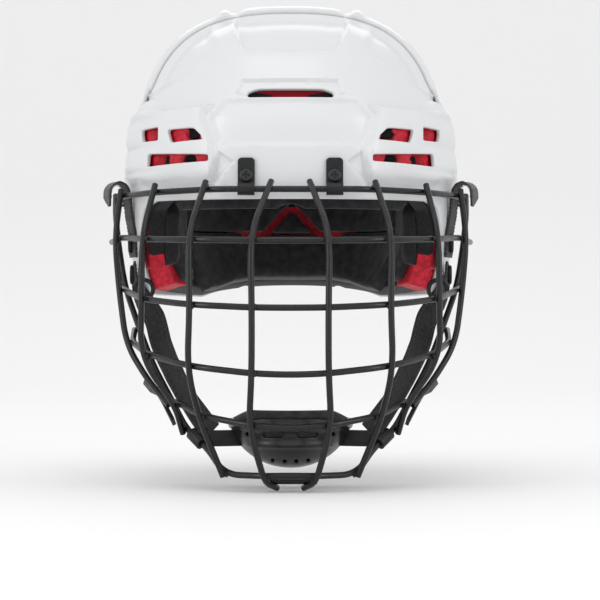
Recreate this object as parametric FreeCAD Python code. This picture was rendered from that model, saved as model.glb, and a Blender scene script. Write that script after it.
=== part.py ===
"""Ice hockey helmet with a full wire cage, size M, in millimetres.

Frame: +Z up, +X to the wearer's left, the face looks along -Y. The origin is the middle of the head cavity
at the height of the brow edge. The two shells and their liners are layers under and over one dome, which is
a superellipsoid that flares above the ears. The cage is welded from round wire, and hinges on its brow bar.
"""

import FreeCAD
import Part

import math
import os

V = FreeCAD.Vector

# ---- driving dimensions: the dome ----
DOME_Y = 8.0            # the dome's centre sits a little behind the origin
DOME_Z = 18.0
HALF_WIDTH = 96.0       # above the flare
FRONT = 121.0
BACK = 133.0
TOP = 105.0
BOTTOM = 135.0
PLAN_POWER = 2.3
PROFILE_POWER = 2.9
FLARE_TOP_Z = 80.0      # the sides widen from here down
FLARE_HEIGHT = 35.0
FLARE_SIDE = 0.083
FLARE_FRONT = 0.04
GRID = 21               # points each way on a dome surface
REACH_DEG = 133.0       # how far a dome surface runs down from the crown

# ---- layers, as depths under the dome; a minus is outside it ----
FRONT_SHELL = (0.0, 3.0)
WING = (-5.0, 0.6)
REAR_SHELL = (-4.8, -1.8)
FRONT_IMPACT = (3.4, 14.0)
REAR_IMPACT = (-1.4, 14.0)
COMFORT_PAD = (14.3, 24.5)

# ---- outlines in the side view, as (Y, Z) ----
FRONT_OUTLINE = [(-140, 0), (-72, 0), (-62, -4), (-54, -20), (-46, -50), (-42, -60), (-14, -60), (-8, -50),
                 (-2, -20), (8, -12), (34, -12), (34, 68), (-6, 74), (-6, 140), (-140, 140)]
REAR_OUTLINE = [(-30, 72), (-31, 112), (-48, 128), (-48, 150), (170, 150), (170, -50), (140, -52), (115, -62),
                (56, -58), (50, -30), (44, -14), (12, -12), (10, 68)]
WING_SIDE = [(-112, 14), (-60, 10), (8, 10), (8, 64), (-40, 66), (-112, 66)]
WING_FRONT = [(50, 0), (140, 0), (140, 90), (40, 90), (44, 66), (52, 56)]
FRONT_LINER = [(-140, 4), (-80, 4), (-60, -6), (-45, -43), (-16, -43), (-6, -6), (34, -6), (34, 69), (-6, 75),
               (-6, 140), (-140, 140)]
REAR_LINER = [(35.5, 70), (-4.5, 76), (-4.5, 150), (170, 150), (170, -49.5), (140, -51.7), (113, -59), (60, -55),
              (53, -29), (46, -9), (35.5, -8)]

# ---- vents, as corners in the front view (X, Z), or from above (X, Y) for the crown ----
SLOT = [(-26.7, 64.4), (26.7, 64.4), (26.7, 69.0), (-26.7, 69.0)]
VENTS = [[(54, 37.5), (61, 44.6), (77, 44.2), (75, 36.2)],
         [(84, 38.2), (84, 46.4), (95.5, 45.4), (94.5, 38.2)],
         [(52.5, 23.8), (52.5, 27.8), (90, 29.8), (90, 21.8)]]
CROWN_VENTS = [[(22, 2), (31, 2), (38, 38), (26, 38)]]
REAR_VENTS = [[(18, 62), (52, 54), (48, 48), (18, 54)], [(20, 34), (62, 26), (56, 20), (20, 26)]]

# ---- pads: side view outlines as (Y, Z), then front view outlines of the back pads as (X, Z) ----
BROW_PAD = [(-140, -6), (-78, -6), (-66, 6), (-66, 34), (-72, 40), (-140, 40)]
TEMPLE_PAD = [(-60, -8), (-56, -1), (-20, -1), (-15, -6), (-16, -38), (-20, -43), (-44, -43), (-50, -36)]
SIDE_PAD = [(-60, 8), (-56, 3), (-8, 3), (-4, 8), (-4, 62), (-10, 68), (-48, 68), (-60, 50)]
CROWN_FRONT_PAD = [(-62, 86), (-8, 86), (-8, 150), (-62, 150)]
CROWN_REAR_PAD = [(-2, 86), (58, 86), (58, 150), (-2, 150)]
CROWN_PAD_HALF = 33.0
REAR_SIDE_PAD = [(42, -6), (48, -12), (57, -32), (72, -51), (80, -56), (80, 52), (46, 62), (42, 58)]
REAR_UPPER_PAD = [(1.6, 5), (1.6, 46), (42, 52), (96, 48), (96, -15.5), (24, -15.5), (8, 0)]
CENTRE_PAD = [(-1.6, -2), (1.6, -2), (17, -16.5), (-17, -16.5)]
NAPE_PAD = [(-96, -17), (-44, -17), (-43, -23), (-21, -23), (-18, -18), (18, -18), (21, -23), (43, -23), (44, -17),
            (96, -17), (96, -57), (72, -62), (64, -61), (50, -56), (32, -53), (-32, -53), (-50, -56), (-64, -61),
            (-72, -62), (-96, -57)]
BACK_PAD_Y = 81.0

# ---- screws that hold the cage's clips ----
SCREW_R = 2.4
HEAD_R = 4.2
HEAD_HEIGHT = 2.3
NUT_R = 3.6
NUT_HEIGHT = 4.5
FLANGE_R = 7.0
CLIP_SHEET = 1.65
CLIP_TOP_Z = 25.5
SCREW_Z = 14.5

# ---- the cage ----
WIRE_R = 1.95
WELD_STEP = 3.7         # between the axes of two crossing wires
END_STEP = 3.47         # the same next to a wire's end, where its first bend leads it outward
HINGE_Y = -125.0
HINGE_Z = 5.8
CLIP_X = 27.3
CLIP_BORE_R = 2.2
CLIP_WIDTH = 10.5

TAIL = 3.5              # how far a wire runs on past its last crossing
TIP = 3.4               # how far an upright stands above the brow bar

# Where the uprights cross each bar, as points on the bar's axis on the wearer's left, from the inner upright to
# the outer one. Every bar ends on the frame wire, which runs down the sides and across under the chin.
BROW_BAR = [(40, HINGE_Y, HINGE_Z), (51.5, -119.2, 5.7), (83, -95, 5.0), (100, -68, 4.4), (109.3, -45, 4.0)]
BROW_CROSSINGS = [(12.5, HINGE_Y, HINGE_Z), (51.5, -119.2, 5.7), (83, -95, 5.0), (105.6, -54, 4.1)]
EYE_BAR = [(21.6, -162.5, -26.4), (58.7, -150, -25.8), (87.6, -118, -24.8), (107.6, -64, -23.0)]
NOSE_BAR = [(21.8, -169, -66.8), (58.7, -156, -65.1), (88.4, -121, -61.8), (105.4, -64, -56.0)]
MOUTH_BAR = [(21.8, -167, -106.3), (58.9, -152, -102.3), (87.0, -114, -95.8), (99.6, -72, -88.6)]
JAW_BAR = [(21.7, -157, -138.0), (52.4, -138, -132.8), (69.0, -112, -126.5), (73.2, -102, -125.8)]
EYE_CENTRE = (0, -164, -26.5)
NOSE_CENTRE = (0, -171, -67.0)
MOUTH_CENTRE = (0, -169, -107)
JAW_CENTRE = (0, -159, -139.5)
CHIN_CENTRE = (0, -146, -169.1)
FRAME_WIRE = [(15, -144, -169.3), (39.2, -129, -167.5), (52, -114, -154), (64.1, -103, -142.5),
              (74, -92, -126), (87, -70, -103.6), (97, -51, -81), (107.5, -29, -52.7), (112.4, -24, -24.0)]
FRAME_TOP = (113.4, -33, -7)
JAW_END, MOUTH_END, NOSE_END, EYE_END = 4, 6, 7, 8      # places on the frame wire
OUTER_BEND = (89.5, -86, -112.5)
INNER_END = (8.2, -134, -177.2)

# ---- the chin cup, a bowl under the chin ----
CUP_CENTRE = (0.0, -98.0, -132.0)
CUP_RADII = (39.0, 43.0, 35.0)
CUP_WALL = 2.4
CUP_PAD = 5.0
CUP_RIM_Z = -135.0
CUP_PAD_Z = -130.0       # the pad's rolled rim stands above the cup's
CUP_BACK_Y = -92.0
CUP_SLOTS = [(-17.5, -4.0), (4.0, 17.5)]
CUP_SLOT_Z = (-147.3, -143.7)
ARM_CLIP = V(58.0, -108.5, -148.25)      # where an arm's clip grips the frame wire
ARM_ROOT = V(30.0, -106.0, -148.0)

# ---- webbing: paths as X, Y, Z, and the way its flat side faces at each point ----
CHIN_WEB = (15.0, 1.6)      # width and thickness
CHIN_STRAP = [(101.9, -33, -40), (100.4, -38, -52), (95, -45.5, -62), (87.6, -49, -74), (82.6, -55, -91),
              (74.5, -69, -108), (64.0, -85.5, -125.5), (49.5, -104, -144.5)]
CHIN_FACING = [(1, -0.2, 0), (1, -0.3, 0), (0.7, -0.8, 0), (0.35, -1, 0), (0.35, -1, 0), (0.5, -1, 0), (0.7, -1, 0),
               (0.3, -1, 0)]
SIDE_WEB = (16.0, 1.6)
SIDE_STRAP_Y = -39.5
SIDE_STRAP = [(101.6, -35), (102.4, -20), (104.4, -8), (105.7, 5), (107.6, 10.6), (112, 13), (117.0, 10.5),
              (118.4, 5), (117, -2)]
SNAPS = [(SIDE_STRAP_Y, -26.0, 102.7, 99.4), (-35.0, -46.0, 101.8, 98.9)]   # Y, Z, cap's and stud's X
RING_AT = V(94.4, -49.6, -55.5)
KEEPER = [(92, -77.5, -113.5), (88.5, -78.5, -118.0), (84.5, -82, -119.5), (80.6, -88.0, -125.0), (73, -98, -138.5)]

# ---- size levers on the rear shell ----
LEVER_Z = 8.0
LEVER_PIN = V(111.8, 34.0, 0.0)
LEVER_PIN_R = 1.2
LEVER_EYE_R = 2.2
LEVER = (-10.6, -7.8)       # as depths under the dome
LEVER_SEAT = (-6.2, -4.85)


# ---------------------------------------------------------------- dome surfaces
def smooth(t):
    t = max(0.0, min(1.0, t))
    return t * t * (3 - 2 * t)


def dome_point(a, b):
    """The dome's outer point in a direction: a and b are angles in degrees from the crown, to the side and back."""
    p = math.tan(math.radians(a) / 2)
    q = math.tan(math.radians(b) / 2)
    rho = 1 + p * p + q * q
    dx, dy, dz = 2 * p / rho, 2 * q / rho, (2 - rho) / rho
    depth = FRONT if dy < 0 else BACK
    height = TOP if dz > 0 else BOTTOM
    plan = (abs(dx / HALF_WIDTH) ** PLAN_POWER + abs(dy / depth) ** PLAN_POWER) ** (PROFILE_POWER / PLAN_POWER)
    r = (plan + abs(dz / height) ** PROFILE_POWER) ** (-1 / PROFILE_POWER)
    z = DOME_Z + r * dz
    flare = smooth((FLARE_TOP_Z - z) / FLARE_HEIGHT)
    y_flare = 1 + FLARE_FRONT * flare
    return V(r * dx * (1 + FLARE_SIDE * flare), DOME_Y + r * dy * y_flare, z)


def under_dome(a, b, depth):
    """The same point, moved in by depth along the dome's normal."""
    e = 0.4
    along = dome_point(a + e, b) - dome_point(a - e, b)
    across = dome_point(a, b + e) - dome_point(a, b - e)
    return dome_point(a, b) - along.cross(across).normalize() * depth


def dome_face(depth):
    angles = [REACH_DEG * (2 * i / (GRID - 1) - 1) for i in range(GRID)]
    surface = Part.BSplineSurface()
    surface.interpolate([[under_dome(a, b, depth) for b in angles] for a in angles])
    return surface


def closed_between(outer, inner):
    """The solid between two surfaces of the same parameter range."""
    faces = [outer.toShape(), inner.toShape()]
    (u0, u1, v0, v1), (s0, s1, t0, t1) = outer.bounds(), inner.bounds()
    edges = [(outer.uIso(u0), inner.uIso(s0)), (outer.uIso(u1), inner.uIso(s1)),
             (outer.vIso(v0), inner.vIso(t0)), (outer.vIso(v1), inner.vIso(t1))]
    for one, two in edges:
        faces.append(Part.makeRuledSurface(one.toShape(), two.toShape()))
    shell = Part.Shell(Part.makeShell(faces).Faces)
    shell.sewShape()
    solid = Part.makeSolid(Part.Shell(shell.Faces))
    if solid.Volume < 0:
        solid.reverse()
    return solid


def layer(depths):
    return closed_between(dome_face(depths[0]), dome_face(depths[1]))


# ---------------------------------------------------------------- cutting tools
def side_prism(points, x0=-150.0, x1=150.0):
    """An outline in the side view, as (Y, Z), swept from x0 to x1."""
    wire = Part.makePolygon([V(x0, y, z) for y, z in points] + [V(x0, *points[0])])
    return Part.Face(wire).extrude(V(x1 - x0, 0, 0))


def front_prism(points, y0, y1):
    """An outline in the front view, as (X, Z), swept from y0 to y1."""
    wire = Part.makePolygon([V(x, y0, z) for x, z in points] + [V(points[0][0], y0, points[0][1])])
    return Part.Face(wire).extrude(V(0, y1 - y0, 0))


def rounded(shape, radius, axis):
    """The prism with its edges along one axis rounded."""
    edges = [e for e in shape.Edges if len(e.Vertexes) == 2
             and abs((e.Vertexes[1].Point - e.Vertexes[0].Point).normalize().dot(axis)) > 0.999]
    return shape.makeFillet(radius, edges)


def mirror(shape):
    return shape.mirror(V(0, 0, 0), V(1, 0, 0))


def both(shape):
    return [shape, mirror(shape)]


def front_point(x, z, depth=0.0):
    """The point of a dome surface straight behind a place in the front view, and the outward normal there."""
    a = math.degrees(math.atan2(x, 90.0))
    b = -math.degrees(math.atan2(110.0, max(z, -40.0) + 60.0))
    for _ in range(25):
        here = under_dome(a, b, depth)
        by_a = under_dome(a + 0.5, b, depth) - here
        by_b = under_dome(a, b + 0.5, depth) - here
        miss_x, miss_z = x - here.x, z - here.z
        det = by_a.x * by_b.z - by_b.x * by_a.z
        a += 0.5 * (miss_x * by_b.z - by_b.x * miss_z) / det * 0.8
        b += 0.5 * (by_a.x * miss_z - miss_x * by_a.z) / det * 0.8
    return under_dome(a, b, depth), (under_dome(a, b, depth - 1) - under_dome(a, b, depth)).normalize()


# ---------------------------------------------------------------- bent wire
def arc_at(before, corner, after):
    """The arc that rounds a corner, as start, middle and end, tangent to both runs."""
    to_before, to_after = before - corner, after - corner
    reach = 0.45 * min(to_before.Length, to_after.Length)
    one, two = V(to_before).normalize(), V(to_after).normalize()
    half = one.getAngle(two) / 2
    bisector = (one + two).normalize()
    radius = reach * math.tan(half)
    middle = corner + bisector * (radius / math.sin(half) - radius)
    return corner + one * reach, middle, corner + two * reach


def corners_for(points, kept):
    """Corners whose rounded path passes through the given points. Those at the kept places stay corners."""
    corners = [V(*p) for p in points]
    aims = [V(*p) for p in points]
    for _ in range(12):
        middles = [arc_at(*corners[i - 1:i + 2])[1] for i in range(1, len(corners) - 1)]
        for i, middle in enumerate(middles, start=1):
            if i not in kept:
                corners[i] = corners[i] + (aims[i] - middle) * 0.8
    return corners


def bent_path(points, kept=()):
    """Straight runs joined by tangent arcs, through the points."""
    corners = corners_for(points, kept)
    edges, here = [], corners[0]
    for i in range(1, len(corners) - 1):
        start, middle, end = arc_at(*corners[i - 1:i + 2])
        edges.append(Part.LineSegment(here, start).toShape())
        edges.append(Part.Arc(start, middle, end).toShape())
        here = end
    edges.append(Part.LineSegment(here, corners[-1]).toShape())
    return Part.Wire(edges)


def bent_wire(points, radius=WIRE_R, kept=()):
    path = bent_path(points, kept)
    start, towards = path.Edges[0].valueAt(path.Edges[0].FirstParameter), path.Edges[0].tangentAt(0)
    ring = Part.Wire([Part.Circle(start, towards, radius).toShape()])
    solid = path.makePipeShell([ring], True, False)
    expected = math.pi * radius ** 2 * path.Length
    if abs(solid.Volume - expected) > 0.02 * expected:
        print("wire volume is off:", round(solid.Volume), round(expected))
    return solid


def across(points, centre):
    """A bar's whole run, from its right half."""
    left = [(-x, y, z) for x, y, z in reversed(points)]
    return left + ([centre] if centre else []) + list(points)


# ---------------------------------------------------------------- the cage
def heading(points, i):
    """The way a wire runs at one of its points."""
    way = V(0, 0, 0)
    if i > 0:
        way += (V(*points[i]) - V(*points[i - 1])).normalize()
    if i < len(points) - 1:
        way += (V(*points[i + 1]) - V(*points[i])).normalize()
    return way.normalize()


def over(point, one, two, step=WELD_STEP):
    """Where a wire's axis lies as it crosses over a point of another, square to the headings of both."""
    away = V(point[0], point[1] + 70, min(0.0, point[2] + 125) * 0.9)
    square = one.cross(two).normalize()
    if square.dot(away) < 0:
        square = -square
    return V(*point) + square * step


def run_on(points, length=TAIL):
    """The same points with a tail beyond the last one."""
    last = V(*points[-1])
    return list(points) + [tuple(last + (last - V(*points[-2])).normalize() * length)]


def bar_points(bar, end):
    """A bar's points with its end laid over the frame wire."""
    crossing = V(*FRAME_WIRE[end])
    for _ in range(3):
        way = (crossing - V(*bar[-1])).normalize()
        crossing = over(FRAME_WIRE[end], way, heading(FRAME_WIRE + [FRAME_TOP], end))
    return run_on(list(bar) + [tuple(crossing)])


def frame_points():
    """The frame wire's points, up to where it crosses over the end of the brow bar."""
    crossing = V(*BROW_BAR[-1])
    for _ in range(3):
        way = (crossing - V(*FRAME_TOP)).normalize()
        crossing = over(BROW_BAR[-1], heading(BROW_BAR, len(BROW_BAR) - 1), way)
    return run_on(FRAME_WIRE + [FRAME_TOP, tuple(crossing)])


def upright_points(column, bars):
    """An upright's own points, laid over each bar it crosses."""
    brow_step = END_STEP if column < 3 else WELD_STEP
    crossed = [(BROW_CROSSINGS[column], heading(BROW_BAR, column) if column else V(1, 0, 0), brow_step)]
    crossed += [(bar[column], heading(bar, column), WELD_STEP) for bar in bars]
    if column < 3:
        place = (0, 1, 3)[column]
        crossed.append((FRAME_WIRE[place], heading(FRAME_WIRE, place) if place else V(1, 0, 0), WELD_STEP))
    points = [laid[0] for laid in crossed]
    if column == 0:
        points.append(INNER_END)
    if column == 3:
        crossed.insert(4, None)
        points.insert(4, OUTER_BEND)
    for _ in range(3):
        ways = [heading(points, i) for i in range(len(crossed))]
        for i, laid in enumerate(crossed):
            if laid:
                points[i] = tuple(over(laid[0], laid[1], ways[i], laid[2]))
    tip = V(*points[0]) - heading(points, 0) * TIP
    return [tuple(tip)] + points[1:] if column == 0 else run_on([tuple(tip)] + points[1:], 1.6)


def chin_tie(inner):
    """The short rod that joins the lower ends of the inner uprights, behind them."""
    way = heading(inner, len(inner) - 1)
    square = V(1, 0, 0).cross(way).normalize()
    if square.z < 0:
        square = -square
    middle = V(*INNER_END) - way * 3.0 + square * END_STEP
    return Part.makeCylinder(WIRE_R, 33.0, V(-16.5, middle.y, middle.z), V(1, 0, 0))


def cage_wires():
    bars = [bar_points(EYE_BAR, EYE_END), bar_points(NOSE_BAR, NOSE_END),
            bar_points(MOUTH_BAR, MOUTH_END), bar_points(JAW_BAR, JAW_END)]
    nodes = {"brow_bar": [bent_wire(across(run_on(BROW_BAR), None), kept=(5, 6))],
             "eye_bar": [bent_wire(across(bars[0], EYE_CENTRE))],
             "nose_bar": [bent_wire(across(bars[1], NOSE_CENTRE))],
             "mouth_bar": [bent_wire(across(bars[2], MOUTH_CENTRE))],
             "jaw_bar": [bent_wire(across(bars[3], JAW_CENTRE))],
             "frame_wire": [bent_wire(across(frame_points(), CHIN_CENTRE))],
             "chin_tie": [chin_tie(upright_points(0, bars))]}
    for column, name in enumerate(("inner", "second", "third", "outer")):
        wire = bent_wire(upright_points(column, bars))
        nodes[name + "_upright_left"], nodes[name + "_upright_right"] = [wire], [mirror(wire)]
    return nodes


# ---------------------------------------------------------------- shells
def vent_tool(corners):
    """A prism square to the shell through a vent, from its corners in the front view as (X, Z)."""
    found = [front_point(x, z, WING[0]) for x, z in corners]
    middle = V(0, 0, 0)
    normal = V(0, 0, 0)
    for point, outward in found:
        middle += point * (1 / len(found))
        normal += outward
    normal.normalize()
    flat = [point - normal * (point - middle).dot(normal) - normal * 19 for point, _ in found]
    return Part.Face(Part.makePolygon(flat + [flat[0]])).extrude(normal * 32)


def front_shell():
    shell = layer(FRONT_SHELL).common(side_prism(FRONT_OUTLINE))
    wing = layer(WING).common(side_prism(WING_SIDE)).common(front_prism(WING_FRONT, -130, 20))
    shell = shell.fuse(both(wing))
    cuts = [rounded(front_prism(SLOT, -140, -60), 1.9, V(0, 1, 0))]
    for corners in VENTS:
        cuts += both(vent_tool(corners))
    for x in (-CLIP_X, CLIP_X):
        cuts.append(Part.makeCylinder(SCREW_R + 0.3, 40, V(x, -140, SCREW_Z), V(0, 1, 0)))
    return shell.cut(cuts)


def rear_shell():
    shell = layer(REAR_SHELL).common(side_prism(REAR_OUTLINE))
    cuts = []
    for corners in CROWN_VENTS:
        outline = [(x, -z) for x, z in corners]
        vent = front_prism(outline, 90, 150)
        vent.rotate(V(0, 0, 0), V(1, 0, 0), 90)
        cuts += both(vent)
    for corners in REAR_VENTS:
        cuts += both(front_prism(corners, 60, 170))
    return shell.cut(cuts)


# ---------------------------------------------------------------- liners and pads
def pad(outline):
    return layer(COMFORT_PAD).common(side_prism(outline))


def back_pad(outline):
    return layer(COMFORT_PAD).common(front_prism(outline, BACK_PAD_Y, 170))


def nut_seat_y():
    """How far back the flange of a clip's nut sits, just clear of the shell's curved inside."""
    return front_point(CLIP_X + FLANGE_R, SCREW_Z, FRONT_SHELL[1])[0].y + 0.2


def front_liner():
    """The front impact liner, with a pocket behind each clip screw."""
    liner = layer(FRONT_IMPACT).common(side_prism(FRONT_LINER))
    depth = nut_seat_y() + NUT_HEIGHT + 0.6 + 120
    pockets = [Part.makeCylinder(FLANGE_R + 0.5, depth, V(x, -120, SCREW_Z), V(0, 1, 0)) for x in (-CLIP_X, CLIP_X)]
    return liner.cut(pockets)


def liners_and_pads():
    crown = [(-CROWN_PAD_HALF, 60), (CROWN_PAD_HALF, 60), (CROWN_PAD_HALF, 150), (-CROWN_PAD_HALF, 150)]
    crown_box = front_prism(crown, -100, 100)
    nodes = {"front_liner": [front_liner()],
             "rear_liner": [layer(REAR_IMPACT).common(side_prism(REAR_LINER))],
             "brow_pad": [pad(BROW_PAD)],
             "crown_front_pad": [pad(CROWN_FRONT_PAD).common(crown_box)],
             "crown_rear_pad": [pad(CROWN_REAR_PAD).common(crown_box)],
             "centre_pad": [back_pad(CENTRE_PAD)],
             "nape_pad": [back_pad(NAPE_PAD)]}
    for name, outline in (("temple_pad", TEMPLE_PAD), ("side_pad", SIDE_PAD), ("rear_side_pad", REAR_SIDE_PAD)):
        piece = layer(COMFORT_PAD).common(side_prism(outline, 20, 150))
        nodes[name + "_left"], nodes[name + "_right"] = [piece], [mirror(piece)]
    piece = back_pad(REAR_UPPER_PAD)
    nodes["rear_upper_pad_left"], nodes["rear_upper_pad_right"] = [piece], [mirror(piece)]
    return nodes


# ---------------------------------------------------------------- clips and screws
def hinge_clip(back_y):
    """A sheet clip that wraps the brow bar and runs up the front of the shell."""
    x0 = CLIP_X - CLIP_WIDTH / 2
    ring_r = CLIP_BORE_R + CLIP_SHEET
    axis = V(x0, HINGE_Y, HINGE_Z)
    ring = Part.makeCylinder(ring_r, CLIP_WIDTH, axis, V(1, 0, 0))
    run_z = HINGE_Z + CLIP_BORE_R
    run = Part.makeBox(CLIP_WIDTH, back_y - HINGE_Y, CLIP_SHEET, V(x0, HINGE_Y, run_z))
    plate = Part.makeBox(CLIP_WIDTH, CLIP_SHEET, CLIP_TOP_Z - run_z, V(x0, back_y - CLIP_SHEET, run_z))
    plate = plate.makeFillet(2.5, [e for e in plate.Edges if e.BoundBox.ZMin > CLIP_TOP_Z - 0.1
                                   and e.BoundBox.XLength < 0.1])
    bore = Part.makeCylinder(CLIP_BORE_R, CLIP_WIDTH, axis, V(1, 0, 0))
    hole = Part.makeCylinder(SCREW_R + 0.2, 10, V(CLIP_X, back_y - 5, SCREW_Z), V(0, 1, 0))
    return ring.fuse([run, plate]).cut([bore, hole])


def clip_screw(back_y):
    """A pan head screw with a cross recess."""
    seat_y = back_y - CLIP_SHEET
    head = Part.makeCylinder(HEAD_R, HEAD_HEIGHT, V(CLIP_X, seat_y - HEAD_HEIGHT, SCREW_Z), V(0, 1, 0))
    head = head.makeFillet(1.2, [e for e in head.Edges if e.BoundBox.YMax < seat_y - HEAD_HEIGHT + 0.1])
    length = nut_seat_y() + NUT_HEIGHT - seat_y
    shank = Part.makeCylinder(SCREW_R, length, V(CLIP_X, seat_y, SCREW_Z), V(0, 1, 0))
    cross = []
    for width, height in ((4.6, 1.0), (1.0, 4.6)):
        corner = V(CLIP_X - width / 2, seat_y - HEAD_HEIGHT - 1, SCREW_Z - height / 2)
        cross.append(Part.makeBox(width, 2.4, height, corner))
    return head.fuse(shank).cut(cross)


def tee_nut(inside_y):
    """A flanged barrel nut behind the shell."""
    flange = Part.makeCylinder(FLANGE_R, 1.3, V(CLIP_X, inside_y, SCREW_Z), V(0, 1, 0))
    barrel = Part.makeCylinder(NUT_R, NUT_HEIGHT, V(CLIP_X, inside_y, SCREW_Z), V(0, 1, 0))
    bore = Part.makeCylinder(SCREW_R + 0.1, 9, V(CLIP_X, inside_y - 1, SCREW_Z), V(0, 1, 0))
    return flange.fuse(barrel).cut(bore)


def clips_and_screws():
    back_y = front_point(CLIP_X - CLIP_WIDTH / 2, SCREW_Z)[0].y - 0.35
    inside_y = nut_seat_y()
    clip = hinge_clip(back_y)
    return {"hinge_clip_left": [clip], "hinge_clip_right": [mirror(clip)],
            "clip_screws": both(clip_screw(back_y)),
            "tee_nuts": both(tee_nut(inside_y))}


# ---------------------------------------------------------------- chin cup
def cup_body(inset):
    """An ellipsoid inset from the cup's outside."""
    grow = FreeCAD.Matrix()
    grow.scale(V(*[r - inset for r in CUP_RADII]))
    grow.move(V(*CUP_CENTRE))
    return Part.makeSphere(1.0).transformGeometry(grow)


def cup_layer(outer, inner, rim_z):
    keep = Part.makeBox(120, 80, 60, V(-60, CUP_BACK_Y - 80, rim_z - 60))
    return cup_body(outer).cut(cup_body(inner)).common(keep)


def cup_arm():
    """A flat arm from the side of the cup to a clip around the frame wire."""
    along = (V(*FRAME_WIRE[3]) - V(*FRAME_WIRE[2])).normalize()
    start = ARM_CLIP - along * 5.5
    ring = Part.makeCylinder(4.1, 11, start, along)
    arm = band([ARM_ROOT, (ARM_ROOT + ARM_CLIP) * 0.5 + V(1, -2, 0), ARM_CLIP], [(0.3, -1, 0)] * 3, 10, 2.6)
    bore = Part.makeCylinder(WIRE_R + 0.15, 11, start, along)
    return ring.fuse(arm).cut([bore, cup_body(0.0)])


# ---------------------------------------------------------------- webbing
def loft_of(points, sides, width, thickness):
    """A flat band through points, spread along each point's side."""
    wires = []
    for i, p in enumerate(points):
        side = sides[i] * (width / 2)
        thick = side.cross(heading(points, i)).normalize() * (thickness / 2)
        corners = [p + side + thick, p + side - thick, p - side - thick, p - side + thick]
        wires.append(Part.makePolygon(corners + [corners[0]]))
    solid = Part.makeLoft(wires, True, True)
    if solid.Volume < 0:
        solid.reverse()
    return solid


def band(points, facing, width, thickness):
    """A flat band whose flat side faces the given way at each point."""
    points = [V(*p) for p in points]
    sides = [heading(points, i).cross(V(*facing[i])).normalize() for i in range(len(points))]
    return loft_of(points, sides, width, thickness)


def side_strap():
    """A strap up the side of the shell, over the ends of the wires and down outside them."""
    points = [V(x, SIDE_STRAP_Y, z) for x, z in SIDE_STRAP]
    sides = [V(0.34, 0.94, 0).normalize()] * len(points)
    return loft_of(points, sides, *SIDE_WEB)


def straps(shell):
    """Straps, rings and snaps. The studs stay on the shell, all the rest hangs on the cage."""
    chin = band(CHIN_STRAP, CHIN_FACING, *CHIN_WEB)
    side = side_strap()
    ring = Part.makeTorus(6.0, 1.4, RING_AT, V(0, 1, 0))
    keeper = band(KEEPER, [(0.6, -0.3, -0.6)] * len(KEEPER), 8.0, 2.4)
    caps, studs = [], []
    for y, z, cap_x, stud_x in SNAPS:
        cap = Part.makeCylinder(6.2, 2.2, V(cap_x, y, z), V(1, 0, 0))
        caps += both(cap.makeFillet(0.9, [e for e in cap.Edges if e.BoundBox.XMin > cap_x + 2.1]))
        stud = Part.makeCylinder(4.0, 12, V(stud_x - 12, y, z), V(1, 0, 0))
        studs += both(max(stud.cut(shell).Solids, key=lambda piece: piece.BoundBox.XMax))
    return {"chin_strap_left": [chin], "chin_strap_right": [mirror(chin)],
            "side_strap_left": [side], "side_strap_right": [mirror(side)],
            "wire_keeper_left": [keeper], "wire_keeper_right": [mirror(keeper)],
            "strap_rings": both(ring), "snap_caps": caps, "snap_studs": studs}


# ---------------------------------------------------------------- size levers
def upright_rod(radius, height):
    """A rod on the lever's pin, centred on the lever."""
    return Part.makeCylinder(radius, height, LEVER_PIN + V(0, 0, LEVER_Z - height / 2), V(0, 0, 1))


def size_levers():
    """A seat with two lugs, a pin and a lever on each side of the rear shell."""
    z0, z1 = LEVER_Z - 8, LEVER_Z + 8
    seat = layer(LEVER_SEAT).common(side_prism([(28, z0), (66, z0), (66, z1), (28, z1)], 60, 150))
    pin = upright_rod(LEVER_PIN_R, 15.6)
    lugs = []
    for z in (LEVER_Z - 7.8, LEVER_Z + 5.8):
        lugs.append(Part.makeBox(5.2, 5, 2, V(LEVER_PIN.x - 3.4, LEVER_PIN.y - 2.5, z)))
    seat = seat.fuse(lugs).cut(pin)
    z0, z1 = LEVER_Z - 5.4, LEVER_Z + 5.4
    lever = layer(LEVER).common(side_prism([(LEVER_PIN.y, z0), (62, z0), (62, z1), (LEVER_PIN.y, z1)], 60, 150))
    lever = lever.fuse(upright_rod(LEVER_EYE_R, 10.8)).cut(upright_rod(LEVER_PIN_R + 0.3, 20))
    return {"lever_seat_left": [seat], "lever_seat_right": [mirror(seat)], "lever_pins": both(pin),
            "size_lever_left": [lever], "size_lever_right": [mirror(lever)]}


# ---------------------------------------------------------------- the whole part
def main():
    shell = front_shell()
    cup = cup_layer(0.0, CUP_WALL, CUP_RIM_Z)
    for x0, x1 in CUP_SLOTS:
        low, high = CUP_SLOT_Z
        slot = front_prism([(x0, low), (x1, low), (x1, high), (x0, high)], -160, -110)
        cup = cup.cut(rounded(slot, 1.7, V(0, 1, 0)))
    arm = cup_arm()
    nodes = {"front_shell": [shell], "rear_shell": [rear_shell()],
             "chin_cup": [cup],
             "chin_cup_pad": [cup_layer(CUP_WALL + 0.2, CUP_WALL + CUP_PAD, CUP_PAD_Z)],
             "cup_arm_left": [arm], "cup_arm_right": [mirror(arm)]}
    nodes.update(cage_wires())
    nodes.update(liners_and_pads())
    nodes.update(clips_and_screws())
    nodes.update(straps(shell))
    nodes.update(size_levers())
    os.makedirs("parts", exist_ok=True)
    for name, shapes in nodes.items():
        solids = [solid for shape in shapes for solid in shape.Solids]
        Part.makeCompound(solids).exportStep("parts/" + name + ".step")
        good = all(solid.isValid() for solid in solids)
        print(name, len(solids), "solids", round(sum(solid.Volume for solid in solids)), "mm3",
              "valid" if good else "NOT VALID")


main()
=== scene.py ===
import math

import bmesh
import bpy
import numpy as np
from mathutils import Matrix, Vector
from mathutils.bvhtree import BVHTree


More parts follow.
